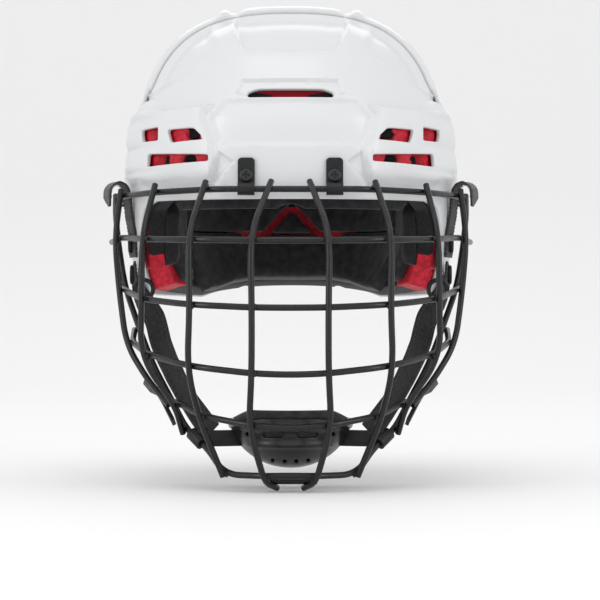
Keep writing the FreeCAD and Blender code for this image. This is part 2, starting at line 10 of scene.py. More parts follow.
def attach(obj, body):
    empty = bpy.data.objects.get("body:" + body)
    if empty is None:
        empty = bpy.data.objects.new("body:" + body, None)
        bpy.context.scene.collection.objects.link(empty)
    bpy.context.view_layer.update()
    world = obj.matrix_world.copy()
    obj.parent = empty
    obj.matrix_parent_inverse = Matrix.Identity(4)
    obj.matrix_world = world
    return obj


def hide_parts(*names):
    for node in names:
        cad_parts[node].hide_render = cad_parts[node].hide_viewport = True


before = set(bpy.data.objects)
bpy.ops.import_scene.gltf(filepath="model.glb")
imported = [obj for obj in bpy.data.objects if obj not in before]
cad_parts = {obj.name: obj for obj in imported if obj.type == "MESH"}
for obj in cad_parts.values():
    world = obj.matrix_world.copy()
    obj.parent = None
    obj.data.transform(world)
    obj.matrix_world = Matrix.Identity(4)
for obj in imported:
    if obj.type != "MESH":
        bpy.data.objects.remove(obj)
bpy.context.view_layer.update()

MM = 0.001
WELD = 2e-6          # metres within which points are joined
FRONT, REAR, CAGE = "front_shell_body", "rear_shell_body", "cage_body"

# ---------------------------------------------------------------- the dome
# Shells, liners and pads are all layers of one dome, each at its own depth.
DOME_Y, DOME_Z = 8.0, 18.0
HALF_WIDTH, DEPTH_FRONT, DEPTH_BACK, TOP, BOTTOM = 96.0, 121.0, 133.0, 105.0, 135.0
PLAN_POWER, PROFILE_POWER = 2.3, 2.9
SIDE_FLARE, END_FLARE = 0.083, 0.04


def smooth(t):
    """A soft step from 0 at t = 0 to 1 at t = 1."""
    t = np.clip(t, 0.0, 1.0)
    return t * t * (3 - 2 * t)


def dome(a, b):
    """The dome's surface in the direction of two angles from the crown, in degrees.

    a turns to the wearer's left and b to the back.
    """
    p, q = np.tan(np.radians(a) / 2), np.tan(np.radians(b) / 2)
    rho = 1 + p * p + q * q
    dx, dy, dz = 2 * p / rho, 2 * q / rho, (2 - rho) / rho
    depth = np.where(dy < 0, DEPTH_FRONT, DEPTH_BACK)
    height = np.where(dz > 0, TOP, BOTTOM)
    across, along = abs(dx / HALF_WIDTH) ** PLAN_POWER, abs(dy / depth) ** PLAN_POWER
    plan = (across + along) ** (PROFILE_POWER / PLAN_POWER)
    r = (plan + abs(dz / height) ** PROFILE_POWER) ** (-1 / PROFILE_POWER)
    z = DOME_Z + r * dz
    flare = smooth((80 - z) / 35)
    return np.stack([r * dx * (1 + SIDE_FLARE * flare), DOME_Y + r * dy * (1 + END_FLARE * flare), z], -1)


def dome_normal(a, b):
    """The dome's outward normal, from points a fraction of a degree apart."""
    e = 0.4
    n = np.cross(dome(a + e, b) - dome(a - e, b), dome(a, b + e) - dome(a, b - e))
    return n / np.linalg.norm(n, axis=-1, keepdims=True)


def surface(uv):
    """The dome's surface at points of a flat sheet of the two angles."""
    return dome(uv[:, 0], uv[:, 1])


def on_dome(uv, depth):
    """Points a depth under the dome's surface, along its normal."""
    return surface(uv) - dome_normal(uv[:, 0], uv[:, 1]) * np.reshape(depth, (-1, 1))


def on_shell(field):
    """Turns a field of points into one of the flat sheet."""
    return lambda uv: field(surface(uv))


def level(depth):
    """A skin at one depth."""
    return lambda uv, g: np.full(len(uv), depth)


# ---------------------------------------------------------------- outlines
OFF = -9.0           # a field's value where it doesn't apply


def inside(u, v, outline, r=0.0):
    """Signed distance to an outline, positive inside it. r rounds its corners."""
    if r:
        outline = shrunk(outline, r)
    u, v = np.asarray(u, float), np.asarray(v, float)
    best = np.full(u.shape, 1e9)
    odd = np.zeros(u.shape, bool)
    for (u0, v0), (u1, v1) in zip(outline, outline[1:] + outline[:1]):
        du, dv = u1 - u0, v1 - v0
        t = np.clip(((u - u0) * du + (v - v0) * dv) / (du * du + dv * dv), 0, 1)
        best = np.minimum(best, np.hypot(u - u0 - t * du, v - v0 - t * dv))
        if dv:
            odd ^= ((v0 > v) != (v1 > v)) & (u < u0 + (v - v0) * du / dv)
    return np.where(odd, best, -best) + r


def shrunk(outline, r):
    """The outline moved inward by r."""
    edges = list(zip(outline, outline[1:] + outline[:1]))
    turn = sum(u0 * v1 - u1 * v0 for (u0, v0), (u1, v1) in edges)
    shift = r if turn > 0 else -r
    lines = []
    for (u0, v0), (u1, v1) in edges:
        length = math.hypot(u1 - u0, v1 - v0)
        lines.append((u0 - (v1 - v0) / length * shift, v0 + (u1 - u0) / length * shift, u1 - u0, v1 - v0))
    small = []
    for (au, av, adu, adv), (bu, bv, bdu, bdv) in zip(lines[-1:] + lines[:-1], lines):
        det = adu * bdv - adv * bdu
        t = ((bu - au) * bdv - (bv - av) * bdu) / det if abs(det) > 1e-6 else 1.0
        small.append((au + t * adu, av + t * adv))
    return small


def bump(t, width):
    """A bell of height 1 about t = 0."""
    return np.exp(-(t / width) ** 2)


def drawn(shape, r, where, axes=(0, 2), both=True):
    """A field inside a shape drawn across two axes, where where(p) holds, on one side or both sides."""
    def field(p):
        u = abs(p[:, axes[0]]) if both else p[:, axes[0]]
        return np.where(where(p), inside(u, p[:, axes[1]], shape, r), OFF)
    return on_shell(field)


# ---------------------------------------------------------------- pieces with two skins
OUTER, INNER, RIM = 0, 1, 2
EDGE_CUTS = (0.0, 0.08, 0.3, 0.62, 1.0)     # cuts across a rounded edge, as parts of its radius


def add_object(name, data):
    obj = bpy.data.objects.new(name, data)
    bpy.context.scene.collection.objects.link(obj)
    return obj


def round_over(g, r):
    """How far a skin drops at a rounded edge, at distance g inside it."""
    h = np.clip(r - g, 0, r)
    return r - np.sqrt(np.maximum(r * r - h * h, 0))


def cut_levels(bm, field, levels, trim=False):
    """Cuts a flat sheet along levels of a field. With trim, what lies below the first level is dropped."""
    for k, height in enumerate(levels):
        value = field(np.array([v.co[:2] for v in bm.verts]))
        for v, z in zip(bm.verts, value):
            v.co.z = z - height
        bmesh.ops.bisect_plane(bm, geom=bm.verts[:] + bm.edges[:] + bm.faces[:], dist=1e-4,
                               plane_co=(0, 0, 0), plane_no=(0, 0, 1), clear_inner=trim and k == 0)


def layered(name, place, span, step, field, outer, inner, edge=1.0, inner_edge=0.4, lines=()):
    """A closed piece between two skins over a flat sheet.

    place(uv, depth) gives points, field(uv) is the distance inside the outline, outer and inner
    give each skin's depth, and lines are further fields to cut along.
    """
    (u0, u1), (v0, v1) = span
    nu, nv = max(2, round((u1 - u0) / step)), max(2, round((v1 - v0) / step))
    bm = bmesh.new()
    rows = [[bm.verts.new((u0 + (u1 - u0) * i / nu, v0 + (v1 - v0) * j / nv, 0)) for j in range(nv + 1)]
            for i in range(nu + 1)]
    for i in range(nu):
        for j in range(nv):
            bm.faces.new((rows[i][j], rows[i + 1][j], rows[i + 1][j + 1], rows[i][j + 1]))
    cut_levels(bm, field, [edge * t for t in EDGE_CUTS], True)
    for line, levels in lines:
        cut_levels(bm, line, levels)
    bm.verts.index_update()
    uv = np.array([v.co[:2] for v in bm.verts])
    g = field(uv)
    top = place(uv, outer(uv, g) + round_over(g, edge))
    under = place(uv, inner(uv, g) - round_over(g, inner_edge))
    n = len(uv)
    polys, kinds = [], []
    for f in bm.faces:
        loop = [v.index for v in f.verts]
        polys += [loop, [i + n for i in reversed(loop)]]
        kinds += [OUTER, INNER]
    for e in bm.edges:
        if len(e.link_faces) == 1:
            a, b = e.verts[0].index, e.verts[1].index
            order = [v.index for v in e.link_faces[0].verts]
            if order[(order.index(a) + 1) % len(order)] != b:
                a, b = b, a
            polys.append([b, a, a + n, b + n])
            kinds.append(RIM)
    bm.free()
    return made(name, np.vstack([top, under]), polys, kinds=kinds)


def made(name, points, polys, angle=40, weld=True, kinds=None):
    """A mesh object from points in millimetres, with outward normals, smooth up to an angle.

    kinds marks each face as OUTER, INNER or RIM.
    """
    mesh = bpy.data.meshes.new(name)
    mesh.from_pydata((np.asarray(points) * MM).tolist(), [], polys)
    if kinds:
        mesh.attributes.new("kind", "INT", "FACE").data.foreach_set("value", kinds)
    bm = bmesh.new()
    bm.from_mesh(mesh)
    if weld:
        bmesh.ops.remove_doubles(bm, verts=bm.verts, dist=WELD)
        bmesh.ops.dissolve_degenerate(bm, edges=bm.edges, dist=WELD)
    bmesh.ops.recalc_face_normals(bm, faces=bm.faces)
    for f in bm.faces:
        f.smooth = True
    for e in bm.edges:
        if len(e.link_faces) == 2 and e.calc_face_angle(0) > math.radians(angle):
            e.smooth = False
    bm.to_mesh(mesh)
    bm.free()
    return add_object(name, mesh)


def tube_faces(first, ring, rings, caps=True):
    """Faces of a tube whose rings of points start at index first."""
    faces = []
    for i in range(rings - 1):
        for j in range(ring):
            a, b = first + i * ring + j, first + i * ring + (j + 1) % ring
            faces.append((a, b, b + ring, a + ring))
    if caps:
        faces.append(tuple(first + j for j in reversed(range(ring))))
        faces.append(tuple(first + (rings - 1) * ring + j for j in range(ring)))
    return faces


def dress(obj, body, material, slot, *nodes):
    """Gives a new piece its material, its body and the nodes it stands for."""
    obj.data.materials.clear()
    obj.data.materials.append(material)
    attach(obj, body)
    if nodes:
        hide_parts(*nodes)
    return obj


def two_tone(obj, second, where):
    """Gives the faces where(kind, centre in millimetres) holds another material."""
    obj.data.materials.append(second)
    slot = len(obj.data.materials) - 1
    kinds = obj.data.attributes["kind"].data
    for face in obj.data.polygons:
        if where(kinds[face.index].value, face.center / MM):
            face.material_index = slot


def mirrored(obj, name):
    """The same piece on the wearer's right."""
    mesh = obj.data.copy()
    mesh.transform(Matrix.Scale(-1, 4, (1, 0, 0)))
    mesh.flip_normals()
    return add_object(name, mesh)


# ---------------------------------------------------------------- materials
def material(name, colour, rough, coat=0.0, metal=0.0, spec=0.5, sheen=0.0):
    """A plain material, which texture(), add_bump(), tint() and roughen() then vary."""
    m = bpy.data.materials.new(name)
    m.use_nodes = True
    b = m.node_tree.nodes["Principled BSDF"]
    b.inputs["Base Color"].default_value = (*colour, 1)
    b.inputs["Roughness"].default_value = rough
    b.inputs["Metallic"].default_value = metal
    b.inputs["Specular IOR Level"].default_value = spec
    b.inputs["Coat Weight"].default_value = coat
    b.inputs["Coat Roughness"].default_value = 0.12
    b.inputs["Sheen Weight"].default_value = sheen
    return m


def texture(m, kind, scale, **sockets):
    """A procedural texture on the object's own coordinates, in metres."""
    nodes, links = m.node_tree.nodes, m.node_tree.links
    t = nodes.new(kind)
    coords = nodes.new("ShaderNodeTexCoord")
    links.new(coords.outputs["Object"], t.inputs["Vector"])
    t.inputs["Scale"].default_value = scale
    for key, value in sockets.items():
        t.inputs[key].default_value = value
    return t


def add_bump(m, output, distance, strength=1.0):
    """Raises the surface by a texture's output, on top of any earlier bump. distance is in millimetres."""
    nodes, links = m.node_tree.nodes, m.node_tree.links
    principled = nodes["Principled BSDF"]
    b = nodes.new("ShaderNodeBump")
    b.inputs["Distance"].default_value = distance * MM
    b.inputs["Strength"].default_value = strength
    links.new(output, b.inputs["Height"])
    if principled.inputs["Normal"].is_linked:
        links.new(principled.inputs["Normal"].links[0].from_socket, b.inputs["Normal"])
    links.new(b.outputs["Normal"], principled.inputs["Normal"])


def tint(m, output, dark, light, low=0.3, high=0.7):
    """Colours the material between two colours by a texture's output."""
    nodes, links = m.node_tree.nodes, m.node_tree.links
    ramp = nodes.new("ShaderNodeValToRGB")
    ramp.color_ramp.elements[0].position, ramp.color_ramp.elements[1].position = low, high
    ramp.color_ramp.elements[0].color, ramp.color_ramp.elements[1].color = (*dark, 1), (*light, 1)
    links.new(output, ramp.inputs["Fac"])
    links.new(ramp.outputs["Color"], nodes["Principled BSDF"].inputs["Base Color"])


def roughen(m, output, low, high):
    """Varies the roughness between two values by a texture's output."""
    nodes, links = m.node_tree.nodes, m.node_tree.links
    r = nodes.new("ShaderNodeMapRange")
    r.inputs["To Min"].default_value, r.inputs["To Max"].default_value = low, high
    links.new(output, r.inputs["Value"])
    links.new(r.outputs["Result"], nodes["Principled BSDF"].inputs["Roughness"])


def grained(m, scale, detail, low, high, distance=0.0, strength=1.0):
    """Gives a material a fine grain in its gloss, and in its surface too if distance is set."""
    grain = texture(m, "ShaderNodeTexNoise", scale, Detail=detail).outputs["Fac"]
    if distance:
        add_bump(m, grain, distance, strength)
    roughen(m, grain, low, high)
    return m


def celled(m, scale, distance, dark=None, light=None, low=0.2, high=0.8):
    """Gives a material the cells of foam, knit or weave, in its surface and between two colours."""
    cells = texture(m, "ShaderNodeTexVoronoi", scale).outputs["Distance"]
    if dark:
        tint(m, cells, dark, light, low, high)
    add_bump(m, cells, distance)
    return m


white = grained(material("white_shell", (0.665, 0.674, 0.685), 0.32, coat=0.3),
                420, 3, 0.28, 0.42, 0.02, 0.5)
red = celled(material("red_foam", (0.62, 0.012, 0.035), 0.58, spec=0.35), 310, -0.22,
             (0.68, 0.014, 0.040), (0.46, 0.008, 0.022), 0.25, 0.75)
# Black for the blocks behind the vents and the slot, partly painted shade.
painted_shade_and_black = material("black_insert", (0.006, 0.006, 0.007), 0.75, spec=0.15)
# Painted shade: a darker red for the liner seen through the slot, where less light reaches it.
painted_shade_red = material("deep_red_foam", (0.27, 0.004, 0.012), 0.65, spec=0.25)
black_foam = celled(material("black_foam", (0.014, 0.014, 0.015), 0.88, spec=0.3, sheen=0.12), 900, -0.08,
                    (0.020, 0.020, 0.022), (0.008, 0.008, 0.009))
pad_cloth = celled(material("pad_cloth", (0.020, 0.020, 0.022), 0.9, spec=0.25, sheen=0.25), 1300, 0.07)
mottle = texture(pad_cloth, "ShaderNodeTexNoise", 160, Detail=4)
tint(pad_cloth, mottle.outputs["Fac"], (0.013, 0.013, 0.014), (0.034, 0.034, 0.037), 0.35, 0.7)
coat_black = grained(material("wire_coat", (0.006, 0.0065, 0.0075), 0.30, spec=0.36, coat=0.1),
                     900, 2, 0.22, 0.36, 0.03, 0.6)
plastic = grained(material("black_plastic", (0.006, 0.0065, 0.007), 0.42, spec=0.38),
                  1100, 2, 0.36, 0.52, 0.025, 0.7)
gloss_plastic = grained(material("cup_plastic", (0.008, 0.0085, 0.010), 0.28, spec=0.45, coat=0.2),
                        500, 2, 0.24, 0.38, 0.02, 0.5)
screw_black = grained(material("screw_finish", (0.045, 0.047, 0.052), 0.34, metal=0.8), 1500, 4, 0.24, 0.5)
steel = grained(material("bright_steel", (0.52, 0.52, 0.54), 0.32, metal=1.0), 900, 4, 0.22, 0.42)
web = celled(material("webbing", (0.012, 0.012, 0.014), 0.8, spec=0.3, sheen=0.3), 800, -0.14,
             (0.024, 0.024, 0.027), (0.007, 0.007, 0.008))
thread = material("thread", (0.035, 0.035, 0.04), 0.8, sheen=0.3)
add_bump(thread, texture(thread, "ShaderNodeTexNoise", 3000, Detail=2).outputs["Fac"], 0.05)

# ---------------------------------------------------------------- outlines of the CAD layers
# Seen from the wearer's left, as (Y, Z).
FRONT_OUTLINE = [(-140, 0), (-72, 0), (-62, -4), (-54, -20), (-46, -50), (-42, -60), (-14, -60), (-8, -50),
                 (-2, -20), (8, -12), (34, -12), (34, 68), (-6, 74), (-6, 140), (-140, 140)]
REAR_OUTLINE = [(-30, 72), (-31, 112), (-48, 128), (-48, 150), (170, 150), (170, -50), (140, -52),
                (115, -62), (56, -58), (50, -30), (44, -14), (12, -12), (10, 68)]
# The rear shell's lower edge is raised by 3 mm at the back, to show its liner's edge.
REAR_SHOWN = [(y, z + 3.0) if z < -40 and y > 100 else (y, z) for y, z in REAR_OUTLINE]
FRONT_LINER = [(-140, 4), (-80, 4), (-60, -6), (-45, -43), (-16, -43), (-6, -6), (34, -6), (34, 69),
               (-6, 75), (-6, 140), (-140, 140)]
REAR_LINER = [(35.5, 70), (-4.5, 76), (-4.5, 150), (170, 150), (170, -49.5), (140, -51.7), (113, -59),
              (60, -55), (53, -29), (46, -9), (35.5, -8)]
# Seen from the front, as (X, Z).
WING = [(46, 7), (45, 24), (46, 34), (52.5, 52), (45, 60.5), (60, 58.6), (76, 57.6), (104, 59.5), (140, 62),
        (140, 6), (110, 6), (60, 7)]
SLOT = [(-27.6, 63.6), (27.6, 63.6), (27.8, 67.8), (20, 70.0), (-20, 70.0), (-27.8, 67.8)]
VENTS = [[(54, 37.5), (61, 44.6), (77, 44.2), (75, 36.2)],
         [(84, 38.2), (84, 46.4), (95.5, 45.4), (94.5, 38.2)],
         [(52.5, 23.8), (52.5, 27.8), (90, 29.8), (90, 21.8)]]
REAR_VENTS = [[(18, 62), (52, 54), (48, 48), (18, 54)], [(20, 34), (62, 26), (56, 20), (20, 26)]]
SCREW_X, SCREW_Z, SCREW_HOLE_R = 27.3, 14.5, 2.7
# Seen from above, as (X, Y).
CROWN_VENT = [(22, 2), (31, 2), (38, 38), (26, 38)]


def front_place(x, z, depth):
    """The point of a dome layer straight behind a place in the front view, and its outward normal."""
    guess = math.degrees(math.atan2(x, 90.0)), -math.degrees(math.atan2(110.0, max(z, -40.0) + 60.0))
    uv = np.array([guess])
    for _ in range(40):
        here = on_dome(uv, depth)[0]
        by_a = on_dome(uv + [0.5, 0], depth)[0] - here
        by_b = on_dome(uv + [0, 0.5], depth)[0] - here
        step = np.linalg.solve([[by_a[0], by_b[0]], [by_a[2], by_b[2]]], [x - here[0], z - here[2]])
        uv = uv + step * 0.4
    return here, dome_normal(uv[:, 0], uv[:, 1])[0]


def vent_field(corners, r=1.1):
    """Inside a vent whose walls stand square to the shell, on both sides of the helmet."""
    found = [front_place(x, z, -5.0) for x, z in corners]
    middle = sum(p for p, _ in found) / len(found)
    normal = sum(n for _, n in found)
    normal /= np.linalg.norm(normal)
    right = np.cross([0, 0, 1], normal)
    right /= np.linalg.norm(right)
    up = np.cross(normal, right)
    flat = [(float((p - middle) @ right), float((p - middle) @ up)) for p, _ in found]

    def field(p):
        d = p - middle
        d[:, 0] = abs(p[:, 0]) - middle[0]
        g = inside(d @ right, d @ up, flat, r)
        return np.where(p[:, 1] < 20, g, -50.0)
    return field


vent_fields = [vent_field(corners) for corners in VENTS]


def front_field(uv):
    """Inside the front shell, outside its slot, vents and screw holes."""
    p = surface(uv)
    g = inside(p[:, 1], p[:, 2], FRONT_OUTLINE)
    ahead = p[:, 1] < -60
    g = np.where(ahead, np.minimum(g, -inside(p[:, 0], p[:, 2], SLOT, 1.9)), g)
    holes = np.hypot(abs(p[:, 0]) - SCREW_X, p[:, 2] - SCREW_Z) - SCREW_HOLE_R
    g = np.where(ahead, np.minimum(g, holes), g)
    for f in vent_fields:
        g = np.minimum(g, -f(p))
    return g


# Recesses and steps of the front shell, seen from the front as (X, Z).
BROW_PANEL = [(-46.5, 33), (46.5, 33), (51.5, 51), (41, 63.2), (-41, 63.2), (-51.5, 51)]
SLOT_PANEL = [(-35.6, 64.6), (35.6, 64.6), (31.0, 75.6), (-31.0, 75.6)]
CHEEK_STEP = [(34.5, 23.6), (45, 31), (47.5, 23), (51, 6), (47.5, 6), (43.5, 14.4)]
FACET = [(55, 118), (50.6, 110.4), (46.7, 98), (53.5, 88.5), (64.5, 79.7), (78, 73), (120, 66), (120, 130)]
# The crown's recess, seen from above as (X, Y).
CROWN_PANEL = [(0, -95.5), (27, -91.5), (32.2, -87), (34.0, -80), (36.0, -68), (37, -30), (37, 40),
               (-20, 40), (-20, -95)]


def wing_rise(p):
    """How far the raised side wing stands out, from 0 to 1, with a chamfer at its lower edge."""
    x, z = abs(p[:, 0]), p[:, 2]
    g = inside(x, z, WING, 1.0)
    edge = smooth(g / 3.2) * smooth((8.6 - p[:, 1]) / 1.2) * (p[:, 1] < 9)
    chamfer = smooth((z - 6.5) / 11.0)
    return edge * (0.25 + 0.75 * chamfer)


def before_rear(p):
    """How far ahead of the rear shell's front edge a point lies."""
    return -inside(p[:, 1], p[:, 2], REAR_OUTLINE)


def front_relief(p):
    """How far the front shell's outer skin lies under the dome."""
    x, y, z = abs(p[:, 0]), p[:, 1], p[:, 2]
    side = smooth((x - 72) / 16)
    on_wing = y < 8.5
    rise = 5.1 * wing_rise(p)
    rise += 0.9 * side * smooth((30 - z) / 10) * smooth((z - 8) / 8) * on_wing
    shoulder = smooth((66.2 - z) / 2.6) * smooth((x - 84) / 9) * smooth((8.6 - y) / 1.2)
    rise = np.maximum(rise, 3.3 * shoulder * (y < 9))
    depth = -rise
    for groove_depth, groove_z, groove_width in ((1.5, 35.2, 2.3), (1.0, 52.5, 1.2), (1.1, 19.6, 1.3)):
        depth += groove_depth * side * bump(z - groove_z, groove_width) * on_wing
    depth += 2.1 * smooth(inside(p[:, 0], z, BROW_PANEL, 1.5) / 2.6) * (y < -50)
    depth += 2.3 * smooth(inside(p[:, 0], z, SLOT_PANEL, 1.2) / 1.8) * (y < -50)
    ahead = before_rear(p)
    clear = smooth((ahead - 0.5) / 10)          # the recesses run out before the rear shell's edge
    depth += 2.6 * smooth(inside(x, y, CROWN_PANEL, 2.0) / 2.6) * (z > 80) * clear
    depth += 1.5 * smooth(inside(x, z, CHEEK_STEP, 1.0) / 1.8) * (y < -60)
    depth += 1.9 * smooth(inside(x, z, FACET, 3.0) / 4.0) * (y < 0) * (z > 60) * clear
    crest = bump(np.hypot(x - 36.5, (y + 60) * 0.25), 6.5)
    depth -= 1.3 * crest * (z > 80) * clear
    lip = smooth((8.5 - ahead) / 7.5)
    depth -= 2.1 * lip * (ahead > 0.6) * (z > 70)
    flap = smooth((-14 - z) / 8)
    depth += 1.0 * flap * smooth(inside(y, z, shrunk(FRONT_OUTLINE, 6.0)) / 2.0)
    return depth


def at_brow(p):
    return p[:, 1] < -50


def at_back(p):
    return p[:, 1] > 60


front_lines = [
    (drawn(WING, 1.0, lambda p: p[:, 1] < 8), (0.1, 1.2, 3.2)),
    (drawn(BROW_PANEL, 1.5, at_brow, both=False), (0.1, 1.3, 2.6)),
    (drawn(SLOT_PANEL, 1.2, at_brow, both=False), (0.1, 1.6)),
    (drawn(CROWN_PANEL, 2.0, lambda p: p[:, 2] > 80, axes=(0, 1)), (0.1, 1.3, 2.6)),
    (on_shell(lambda p: np.where((p[:, 2] > 68) & (p[:, 1] < 20), before_rear(p), OFF)), (0.45, 0.75, 4.0)),
    (drawn(CHEEK_STEP, 1.0, at_brow), (0.1, 1.8)),
]
SHELL_THICK = 2.9
front_shell = layered("front_shell_skin", on_dome, ((-130, 130), (-112, 48)), 1.35, front_field,
                      lambda uv, g: front_relief(surface(uv)),
                      lambda uv, g: front_relief(surface(uv)) + SHELL_THICK,
                      edge=0.9, inner_edge=0.5, lines=front_lines)
dress(front_shell, FRONT, white, "shell", "front_shell")


def rear_field(uv):
    """Inside the rear shell, outside its vents."""
    p = surface(uv)
    x, y, z = abs(p[:, 0]), p[:, 1], p[:, 2]
    g = inside(y, z, REAR_SHOWN)
    g = np.where(z > 80, np.minimum(g, -inside(x, y, CROWN_VENT, 2.0)), g)
    for corners in REAR_VENTS:
        g = np.where(y > 60, np.minimum(g, -inside(x, z, corners, 1.6)), g)
    return g


REAR_PANEL = [(-12, 68), (57, 58), (50, 43.5), (-12, 48)]
LOW_PANEL = [(-14, 39), (70, 29), (60, 15), (-14, 20)]


def rear_relief(p):
    """How far the rear shell's outer skin lies under the dome."""
    x, y, z = abs(p[:, 0]), p[:, 1], p[:, 2]
    top = smooth((z - 84) / 18)
    along = smooth((96 - y) / 50)
    ridges = 2.9 * bump(x - 41.5, 4.0) - 2.2 * bump(x - 35.6, 2.2) + 0.9 * smooth((33 - x) / 5)
    rise = top * along * ridges
    band = bump(inside(y, z, REAR_OUTLINE) - 7.5, 4.5) * (y < 12)
    rise += 1.2 * smooth((z - 56) / 10) * smooth((y + 46) / 6) * band
    back = smooth((y - 70) / 12)
    rise += 2.0 * back * bump(z - 12, 3.4) - 1.8 * back * bump(z - 4, 2.8) + 1.6 * back * bump(z - 72, 4.0)
    rise += 1.6 * back * bump(z + 16, 3.4)
    depth = -4.8 - rise
    depth += 2.2 * back * smooth(inside(x, z, REAR_PANEL, 2.0) / 2.6)
    depth += 2.2 * back * smooth(inside(x, z, LOW_PANEL, 2.0) / 2.6)
    rib = inside(y, z, [(16, -8), (16, 62), (66, 52), (72, -4)], 5.0)
    depth += 0.9 * smooth(rib / 2.2) * (x > 60)
    depth += 1.1 * smooth((4 - abs(z + 30)) / 3) * smooth((y - 58) / 6) * smooth((x - 10) / 6)
    return depth


rear_lines = [(drawn(panel, 2.0, at_back), (0.1, 2.6)) for panel in (REAR_PANEL, LOW_PANEL)]
rear_shell = layered("rear_shell_skin", on_dome, ((-130, 130), (-42, 131)), 1.45, rear_field,
                     lambda uv, g: rear_relief(surface(uv)),
                     level(-1.8), edge=1.3, inner_edge=0.5, lines=rear_lines)
dress(rear_shell, REAR, white, "shell", "rear_shell")


# ---------------------------------------------------------------- impact liners
LINER_FACE = 14.0    # depth of the liners' inner face
CHANNEL = 3.0        # depth of the channels in it


def slots_behind(p):
    """Channels in the front liner behind the vents."""
    x, y, z = abs(p[:, 0]), p[:, 1], p[:, 2]
    wide = np.zeros(len(p))
    for x0, x1, z0, z1 in ((57, 63, 36, 50), (82, 88, 34, 50), (60, 67, 18, 31), (77, 83, 18, 31)):
        wide = np.maximum(wide, smooth(np.minimum.reduce([x - x0, x1 - x, z - z0, z1 - z]) / 1.4 + 0.5))
    middle = smooth((5.2 - abs(z - 66.6)) / 1.5) * smooth((31 - x) / 2)
    return np.where(y < 10, np.maximum(wide, middle * 0.75), 0)


def groove(t, half, soft=1.5):
    """1 within half of t = 0, with soft walls."""
    return smooth((half - abs(t)) / soft + 0.5)


def front_liner_outer(uv, g):
    p = surface(uv)
    under_wing = 4.0 * wing_rise(p) * smooth((p[:, 2] - 12) / 6)
    return 3.4 - under_wing + 6.0 * slots_behind(p) + 2.0 * groove(abs(p[:, 0]) - 44, 3.0) * (p[:, 2] > 78)


def front_liner_inner(uv, g):
    p = surface(uv)
    x, y, z = abs(p[:, 0]), p[:, 1], p[:, 2]
    channel = np.maximum(groove(x - 44, 4.0), groove(z - 52, 3.5) * (y < -40))
    return LINER_FACE - CHANNEL * channel * smooth((g - 4) / 4)


front_liner = layered("front_foam", on_dome, ((-126, 126), (-108, 46)), 2.0,
                      on_shell(lambda p: inside(p[:, 1], p[:, 2], FRONT_LINER)), front_liner_outer,
                      front_liner_inner, edge=1.6, inner_edge=1.6)
dress(front_liner, FRONT, red, "impact_foam", "front_liner")


def front_black(kind, c):
    """The front liner is black inside and at its edges, but red at the ears."""
    return c.z > -33 and (kind != OUTER or inside(c.y, c.z, FRONT_LINER) < 5)


# The liner's outer faces behind the slot, which take the painted shade red.
def shade_behind_slot(kind, c):
    return kind == OUTER and abs(c.x) < 33 and 54 < c.z < 74 and c.y < -50


two_tone(front_liner, black_foam, front_black)
# Painted shade on the liner behind the slot.
two_tone(front_liner, painted_shade_red, shade_behind_slot)


def rear_liner_inner(uv, g):
    p = surface(uv)
    x, y, z = abs(p[:, 0]), p[:, 1], p[:, 2]
    channel = np.maximum(groove(x - 40, 4.0) * (z > 20), groove(z - 58, 4.0) * (y > 40))
    return LINER_FACE - CHANNEL * channel * smooth((g - 4) / 4)


def rear_liner_outer(uv, g):
    p = surface(uv)
    x, y, z = abs(p[:, 0]), p[:, 1], p[:, 2]
    return -1.4 + 3.5 * groove(x - 34, 2.5) * (y > 60) + 3.5 * groove(y - 22, 2.5) * (z > 86)


rear_liner = layered("rear_foam", on_dome, ((-128, 128), (-30, 130)), 2.1,
                     on_shell(lambda p: inside(p[:, 1], p[:, 2], REAR_LINER)), rear_liner_outer,
                     rear_liner_inner, edge=1.6, inner_edge=1.6)
dress(rear_liner, REAR, red, "impact_foam", "rear_liner")


def rear_black(kind, c):
    """The rear liner is black inside and at its edges, but red at the ears and between the back pads."""
    at_ear = c.z < -31 and c.y < 76
    between = abs(c.x) < 46 and -26 < c.z < 5 and c.y > 60
    return (kind != OUTER or inside(c.y, c.z, REAR_LINER) < 3) and not at_ear and not between


two_tone(rear_liner, black_foam, rear_black)


def block_field(*shapes):
    """Inside any of some shapes seen from the front, on both sides of the helmet."""
    fields = [drawn(shape, 0.8, lambda p: p[:, 1] < 0) for shape in shapes]
    return lambda uv: np.maximum.reduce([field(uv) for field in fields])


# Black blocks behind the vents and the slot. Those in the lower vent and at the slot's ends are painted
# shade: dark fills for the gaps between the liner's bars and under the shell, which lie in shade.
vent_block = layered("vent_blocks", on_dome, ((-95, 95), (-105, -40)), 1.1,
                     block_field([(52, 38.4), (52, 47), (65, 47), (67, 42), (65, 38.4)],
                                 [(58, 24.2), (57, 27.4), (66.5, 27.8), (67.5, 24.0)],
                                 [(71.5, 23.6), (71, 27.4), (79, 28.2), (80, 23.2)]),
                     level(0.4), level(2.6), edge=1.0)
dress(vent_block, FRONT, painted_shade_and_black, "black_plastic")
# Painted shade: dark blocks at the slot's ends, under the shell.
slot_shade_block = layered("slot_blocks", on_dome, ((-40, 40), (-80, -40)), 1.2,
                     block_field([(10, 58), (11, 67.4), (20, 69.2), (27, 70.6), (33, 71.4), (33, 58)]),
                     level(5.3), level(7.6), edge=1.0)
dress(slot_shade_block, FRONT, painted_shade_and_black, "black_plastic")


# ---------------------------------------------------------------- comfort pads
PAD_BACK, PAD_THICK = 14.3, 10.0
PAD_BACK_Y = 81.0    # where the pads at the back begin


